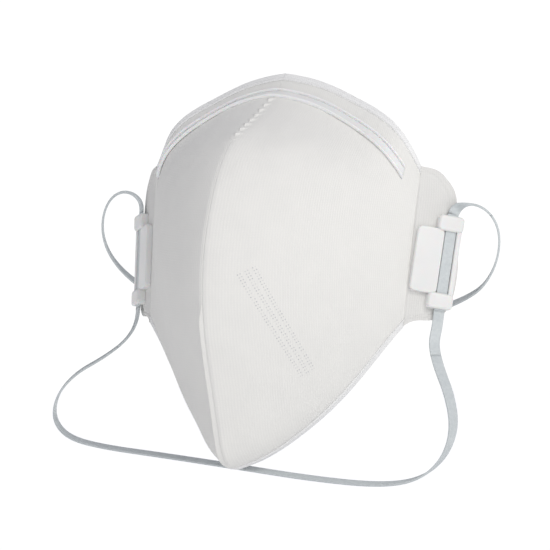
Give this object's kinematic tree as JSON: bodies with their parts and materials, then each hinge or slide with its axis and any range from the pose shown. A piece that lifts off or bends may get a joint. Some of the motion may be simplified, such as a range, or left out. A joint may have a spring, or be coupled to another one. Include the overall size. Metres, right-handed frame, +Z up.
{
  "type": "disposable dust mask",
  "caption": "Vertical-fold disposable dust mask, opened for wear, with laminate halves, a formable nose strip, side band buckles and an elastic head and neck band.",
  "frame": {"origin": "middle of the face opening, where the mask rests on the face", "axes": "+Z up towards the nose, +Y into the face, -Y out through the front ridge, +X the half on the right in front view"},
  "size_m": [0.1814, 0.1081, 0.1568],
  "materials": {
    "cover_fabric": "embossed white spunbond with a fine linen-like grid, matte",
    "filter_web": "white melt-blown web",
    "support_shell": "white thermobonded shell fleece",
    "lining_fabric": "smooth soft white nonwoven",
    "welded_rim": "nonwoven welded flat, slightly shiny",
    "tab_laminate": "pressed nonwoven laminate",
    "nose_strip_plastic": "white plastic over steel wire, satin",
    "foam": "closed-cell foam, light grey",
    "buckle_plastic": "moulded white polypropylene, satin",
    "backing_plastic": "moulded white polypropylene, satin",
    "elastic_band": "flat pale blue-grey elastomer band, satin",
    "seam_weld": "welded nonwoven seam with a dotted print of the tool"
  },
  "bodies": {
    "centre": {"nose_seam": "seam_weld", "chin_seam": "seam_weld", "head_strap": "elastic_band", "neck_strap": "elastic_band", "band_splice": "elastic_band"},
    "right_half": {"outer_cover_right": "cover_fabric", "filter_media_right": "filter_web", "support_layer_right": "support_shell", "inner_lining_right": "lining_fabric", "rim_weld_top_right": "welded_rim", "rim_weld_lower_right": "welded_rim", "nose_strip_web_right": "nose_strip_plastic", "nose_wire_upper_right": "nose_strip_plastic", "nose_wire_lower_right": "nose_strip_plastic", "nose_foam_right": "foam"},
    "right_tab": {"side_tab_right": "tab_laminate", "buckle_right": "buckle_plastic", "buckle_backing_right": "backing_plastic", "band_in_buckle_right": "elastic_band"},
    "left_half": {"outer_cover_left": "cover_fabric", "filter_media_left": "filter_web", "support_layer_left": "support_shell", "inner_lining_left": "lining_fabric", "rim_weld_top_left": "welded_rim", "rim_weld_lower_left": "welded_rim", "nose_strip_web_left": "nose_strip_plastic", "nose_wire_upper_left": "nose_strip_plastic", "nose_wire_lower_left": "nose_strip_plastic", "nose_foam_left": "foam"},
    "left_tab": {"side_tab_left": "tab_laminate", "buckle_left": "buckle_plastic", "buckle_backing_left": "backing_plastic", "band_in_buckle_left": "elastic_band"}
  },
  "joints": [
    {"name": "right_fold", "type": "hinge", "parent": "centre", "child": "right_half", "pos_m": [0, -0.06576, 0], "axis": [0, 0.1131, 0.9936], "range_deg": [0, 43], "deforming": ["outer_cover_right", "filter_media_right", "support_layer_right", "inner_lining_right", "rim_weld_top_right", "rim_weld_lower_right", "nose_strip_web_right", "nose_wire_upper_right", "nose_wire_lower_right", "nose_foam_right", "nose_seam", "chin_seam", "head_strap", "neck_strap", "band_splice"]},
    {"name": "left_fold", "type": "hinge", "parent": "centre", "child": "left_half", "pos_m": [0, -0.06576, 0], "axis": [0, 0.1131, 0.9936], "range_deg": [-43, 0], "deforming": ["outer_cover_left", "filter_media_left", "support_layer_left", "inner_lining_left", "rim_weld_top_left", "rim_weld_lower_left", "nose_strip_web_left", "nose_wire_upper_left", "nose_wire_lower_left", "nose_foam_left"]},
    {"name": "right_tab_flex", "type": "hinge", "parent": "right_half", "child": "right_tab", "pos_m": [0.05761, -0.00705, 0.00975], "axis": [0.0419, 0.1542, 0.9871], "range_deg": [-15, 4], "stiffness_Nm_per_rad": 0.006},
    {"name": "left_tab_flex", "type": "hinge", "parent": "left_half", "child": "left_tab", "pos_m": [-0.05761, -0.00705, 0.00975], "axis": [-0.0419, 0.1542, 0.9871], "range_deg": [-4, 15], "stiffness_Nm_per_rad": 0.006}
  ],
  "couplings": [
    {"joint": "left_fold", "follows": "right_fold", "ratio": -1}
  ]
}
